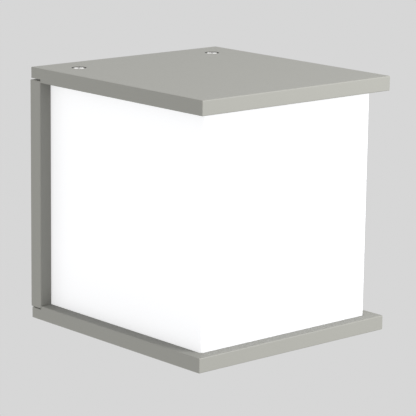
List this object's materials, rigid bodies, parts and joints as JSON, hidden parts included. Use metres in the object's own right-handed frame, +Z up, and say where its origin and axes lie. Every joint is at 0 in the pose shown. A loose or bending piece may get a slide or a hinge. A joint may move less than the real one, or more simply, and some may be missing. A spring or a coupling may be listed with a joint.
{
  "type": "outdoor wall lantern",
  "caption": "Cube-shaped wall lantern: square cover and base plates hold an opal three-sided diffuser against a back plate.",
  "frame": {"origin": "centre of the back plate's rear face, on the wall", "axes": "+X to the right seen from the front, +Y into the wall, +Z up"},
  "size_m": [0.167, 0.176, 0.175],
  "materials": {
    "painted_aluminium": "light grey powder coat, satin, very fine texture",
    "opal_plastic": "opal white, evenly lit from inside",
    "stainless_steel": "stainless, turned",
    "zinc_plated_steel": "zinc plated",
    "brass": "plain",
    "tinned_copper": "tinned",
    "nickel_plate": "nickel-plated, rolled thread",
    "seal_rubber": "black, matt",
    "seal_silicone": "grey foam, matt",
    "holder_plastic": "white heat-resistant plastic",
    "lamp_plastic": "white, satin",
    "globe_plastic": "opal white",
    "insulator_black": "black glass-filled insulator",
    "board_white": "white solder mask on an aluminium board",
    "block_plastic": "natural nylon",
    "wire_brown": "brown insulation",
    "wire_blue": "blue insulation",
    "wire_green": "green insulation with a yellow stripe"
  },
  "bodies": {
    "root": {"back_plate": "painted_aluminium", "bottom_plate": "painted_aluminium", "bottom_screw_left": "stainless_steel", "bottom_screw_right": "stainless_steel", "earth_screw": "stainless_steel", "earth_washer": "stainless_steel", "lampholder_bracket": "zinc_plated_steel", "lampholder_nipple": "zinc_plated_steel", "lampholder_nut": "zinc_plated_steel", "bracket_screw_left": "zinc_plated_steel", "bracket_screw_right": "zinc_plated_steel", "terminal_block_screw_left": "zinc_plated_steel", "terminal_block_screw_right": "zinc_plated_steel", "terminal_screw_line_upper": "zinc_plated_steel", "terminal_screw_line_lower": "zinc_plated_steel", "terminal_screw_neutral_upper": "zinc_plated_steel", "terminal_screw_neutral_lower": "zinc_plated_steel", "terminal_screw_earth_upper": "zinc_plated_steel", "terminal_screw_earth_lower": "zinc_plated_steel", "lampholder_shell": "brass", "lampholder_contact": "brass", "terminal_insert_line": "brass", "terminal_insert_neutral": "brass", "terminal_insert_earth": "brass", "earth_ring_terminal": "tinned_copper", "wall_gasket": "seal_rubber", "cable_grommet": "seal_rubber", "bottom_gasket": "seal_silicone", "lampholder_body": "holder_plastic", "terminal_block": "block_plastic", "wire_line": "wire_brown", "wire_neutral": "wire_blue", "wire_earth": "wire_green"},
    "diffuser": {"diffuser": "opal_plastic"},
    "cover": {"top_cover": "painted_aluminium", "cover_gasket": "seal_silicone"},
    "screw_left_seal": {"cover_screw_seal_left": "seal_rubber"},
    "screw_left": {"cover_screw_left": "stainless_steel"},
    "screw_right_seal": {"cover_screw_seal_right": "seal_rubber"},
    "screw_right": {"cover_screw_right": "stainless_steel"},
    "lamp": {"lamp_cap": "nickel_plate", "lamp_cap_insulator": "insulator_black", "lamp_cap_contact": "tinned_copper", "lamp_housing": "lamp_plastic", "lamp_led_board": "board_white", "lamp_globe": "globe_plastic"}
  },
  "joints": [
    {"name": "diffuser_lift", "type": "slide", "parent": "root", "child": "diffuser", "axis": [0, 0, 1], "range_m": [0, 0.16]},
    {"name": "cover_lift", "type": "slide", "parent": "diffuser", "child": "cover", "axis": [0, 0, 1], "range_m": [0, 0.04]},
    {"name": "lamp_unscrew", "type": "slide", "parent": "root", "child": "lamp", "axis": [0, 0, 1], "range_m": [0, 0.0226]},
    {"name": "screw_left_rise", "type": "slide", "parent": "cover", "child": "screw_left_seal", "axis": [0, 0, 1], "range_m": [0, 0.01]},
    {"name": "screw_left_turn", "type": "hinge", "parent": "screw_left_seal", "child": "screw_left", "pos_m": [-0.06, -0.0235, 0.0872], "axis": [0, 0, 1], "range_deg": [0, 4500.5]},
    {"name": "screw_right_rise", "type": "slide", "parent": "cover", "child": "screw_right_seal", "axis": [0, 0, 1], "range_m": [0, 0.01]},
    {"name": "screw_right_turn", "type": "hinge", "parent": "screw_right_seal", "child": "screw_right", "pos_m": [0.06, -0.0235, 0.0872], "axis": [0, 0, 1], "range_deg": [0, 4500.5]}
  ],
  "couplings": [
    {"joint": "screw_left_turn", "follows": "screw_left_rise", "rad_per_m": 7854},
    {"joint": "screw_right_turn", "follows": "screw_right_rise", "rad_per_m": 7854}
  ]
}
